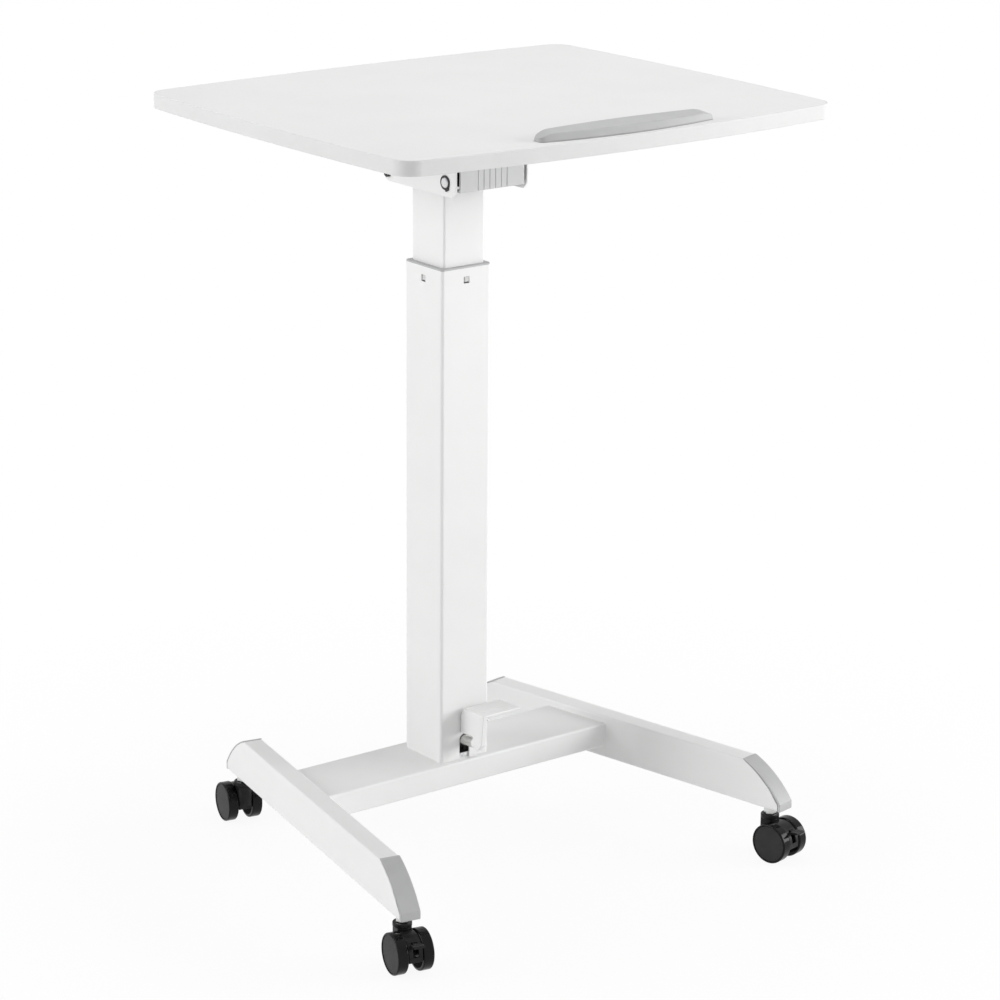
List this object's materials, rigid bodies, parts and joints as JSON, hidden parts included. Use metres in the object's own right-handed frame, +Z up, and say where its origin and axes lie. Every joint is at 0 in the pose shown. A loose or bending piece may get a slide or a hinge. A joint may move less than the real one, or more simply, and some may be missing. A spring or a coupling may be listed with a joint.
{
  "type": "sit-stand desk",
  "caption": "Mobile sit-stand desk: tilting rectangular worktop with a book stop on a telescopic column with a foot pedal, splayed feet and twin-wheel casters.",
  "frame": {"origin": "on the floor, under the middle of the desk's bounding box", "axes": "+Z up, -Y towards the user's side with the book stop, +X to the user's right"},
  "size_m": [0.6038, 0.5588, 0.9196],
  "materials": {
    "white_steel": "smooth satin powder coat",
    "white_laminate": "fine matt laminate on fibreboard",
    "white_edging": "smooth edging band",
    "grey_plastic": "finely textured moulding",
    "pale_plastic": "smooth moulding",
    "black_plastic": "glossy nylon",
    "zinc_steel": "zinc plated",
    "black_steel": "black oxide",
    "bumper_rubber": "soft black rubber"
  },
  "bodies": {
    "base": {"left_foot": "white_steel", "right_foot": "white_steel", "front_left_cap": "grey_plastic", "front_right_cap": "grey_plastic", "rear_left_cap": "grey_plastic", "rear_right_cap": "grey_plastic", "cross_beam": "white_steel", "beam_spigots": "white_steel", "beam_screws": "zinc_steel", "outer_column": "white_steel", "column_base_plate": "zinc_steel", "column_bolts": "zinc_steel", "guide_collar": "pale_plastic", "release_bracket": "zinc_steel", "gas_rod": "zinc_steel", "rod_nut": "zinc_steel", "pedal_pin": "zinc_steel", "caster_stems": "zinc_steel", "stem_nuts": "zinc_steel"},
    "lift_column": {"inner_column": "white_steel", "lower_glide": "pale_plastic", "gas_cylinder": "black_steel", "cylinder_nut": "zinc_steel", "head_bracket": "white_steel", "tilt_shaft": "zinc_steel", "shaft_circlips": "black_steel", "friction_washers": "zinc_steel", "cheek_tie": "zinc_steel", "rest_bumpers": "bumper_rubber"},
    "worktop": {"worktop_panel": "white_laminate", "edge_band": "white_edging", "book_stop": "grey_plastic", "stop_screws": "zinc_steel", "left_rail": "black_steel", "right_rail": "black_steel", "rail_screws": "zinc_steel"},
    "tilt_handle": {"handle_grip": "grey_plastic", "handle_lever": "black_steel"},
    "pedal": {"pedal_rod": "zinc_steel", "foot_pedal": "white_steel"},
    "release": {"release_pin": "zinc_steel"},
    "front_left_caster": {"front_left_housing": "black_plastic", "front_left_axle": "zinc_steel"},
    "front_left_wheel_a": {"front_left_wheel_a": "black_plastic"},
    "front_left_wheel_b": {"front_left_wheel_b": "black_plastic"},
    "front_left_brake": {"front_left_brake": "black_plastic"},
    "rear_left_caster": {"rear_left_housing": "black_plastic", "rear_left_axle": "zinc_steel"},
    "rear_left_wheel_a": {"rear_left_wheel_a": "black_plastic"},
    "rear_left_wheel_b": {"rear_left_wheel_b": "black_plastic"},
    "front_right_caster": {"front_right_housing": "black_plastic", "front_right_axle": "zinc_steel"},
    "front_right_wheel_a": {"front_right_wheel_a": "black_plastic"},
    "front_right_wheel_b": {"front_right_wheel_b": "black_plastic"},
    "front_right_brake": {"front_right_brake": "black_plastic"},
    "rear_right_caster": {"rear_right_housing": "black_plastic", "rear_right_axle": "zinc_steel"},
    "rear_right_wheel_a": {"rear_right_wheel_a": "black_plastic"},
    "rear_right_wheel_b": {"rear_right_wheel_b": "black_plastic"}
  },
  "joints": [
    {"name": "height", "type": "slide", "parent": "base", "child": "lift_column", "axis": [0, 0, 1], "range_m": [-0.139, 0.261]},
    {"name": "tilt", "type": "hinge", "parent": "lift_column", "child": "worktop", "pos_m": [0, 0.00055, 0.8153], "axis": [1, 0, 0], "range_deg": [0, 45]},
    {"name": "handle_squeeze", "type": "hinge", "parent": "lift_column", "child": "tilt_handle", "pos_m": [0, 0.00055, 0.8153], "axis": [-1, 0, 0], "range_deg": [0, 15], "stiffness_Nm_per_rad": 1, "springref_deg": -17.19},
    {"name": "pedal_press", "type": "hinge", "parent": "base", "child": "pedal", "pos_m": [0, 0.04855, 0.12787], "axis": [1, 0, 0], "range_deg": [0, 12], "stiffness_Nm_per_rad": 3, "springref_deg": -17.19},
    {"name": "pin_lift", "type": "slide", "parent": "base", "child": "release", "axis": [0, 0, 1], "range_m": [0, 0.0035]},
    {"name": "front_left_swivel", "type": "hinge", "parent": "base", "child": "front_left_caster", "pos_m": [-0.26864, -0.21904, 0], "axis": [0, 0, 1], "continuous": true},
    {"name": "front_left_roll_a", "type": "hinge", "parent": "front_left_caster", "child": "front_left_wheel_a", "pos_m": [-0.27153, -0.23376, 0.024], "axis": [0.9813, -0.1925, 0], "continuous": true},
    {"name": "front_left_roll_b", "type": "hinge", "parent": "front_left_caster", "child": "front_left_wheel_b", "pos_m": [-0.27153, -0.23376, 0.024], "axis": [0.9813, -0.1925, 0], "continuous": true},
    {"name": "front_left_brake_press", "type": "hinge", "parent": "front_left_caster", "child": "front_left_brake", "pos_m": [-0.27307, -0.24161, 0.0375], "axis": [0.9813, -0.1925, 0], "range_deg": [0, 15]},
    {"name": "rear_left_swivel", "type": "hinge", "parent": "base", "child": "rear_left_caster", "pos_m": [-0.17912, 0.23726, 0], "axis": [0, 0, 1], "continuous": true},
    {"name": "rear_left_roll_a", "type": "hinge", "parent": "rear_left_caster", "child": "rear_left_wheel_a", "pos_m": [-0.17623, 0.25198, 0.024], "axis": [0.9813, -0.1925, 0], "continuous": true},
    {"name": "rear_left_roll_b", "type": "hinge", "parent": "rear_left_caster", "child": "rear_left_wheel_b", "pos_m": [-0.17623, 0.25198, 0.024], "axis": [0.9813, -0.1925, 0], "continuous": true},
    {"name": "front_right_swivel", "type": "hinge", "parent": "base", "child": "front_right_caster", "pos_m": [0.26864, -0.21904, 0], "axis": [0, 0, 1], "continuous": true},
    {"name": "front_right_roll_a", "type": "hinge", "parent": "front_right_caster", "child": "front_right_wheel_a", "pos_m": [0.27153, -0.23376, 0.024], "axis": [0.9813, 0.1925, 0], "continuous": true},
    {"name": "front_right_roll_b", "type": "hinge", "parent": "front_right_caster", "child": "front_right_wheel_b", "pos_m": [0.27153, -0.23376, 0.024], "axis": [0.9813, 0.1925, 0], "continuous": true},
    {"name": "front_right_brake_press", "type": "hinge", "parent": "front_right_caster", "child": "front_right_brake", "pos_m": [0.27307, -0.24161, 0.0375], "axis": [0.9813, 0.1925, 0], "range_deg": [0, 15]},
    {"name": "rear_right_swivel", "type": "hinge", "parent": "base", "child": "rear_right_caster", "pos_m": [0.17912, 0.23726, 0], "axis": [0, 0, 1], "continuous": true},
    {"name": "rear_right_roll_a", "type": "hinge", "parent": "rear_right_caster", "child": "rear_right_wheel_a", "pos_m": [0.17623, 0.25198, 0.024], "axis": [0.9813, 0.1925, 0], "continuous": true},
    {"name": "rear_right_roll_b", "type": "hinge", "parent": "rear_right_caster", "child": "rear_right_wheel_b", "pos_m": [0.17623, 0.25198, 0.024], "axis": [0.9813, 0.1925, 0], "continuous": true}
  ],
  "couplings": [
    {"joint": "pin_lift", "follows": "pedal_press", "m_per_rad": 0.016}
  ]
}
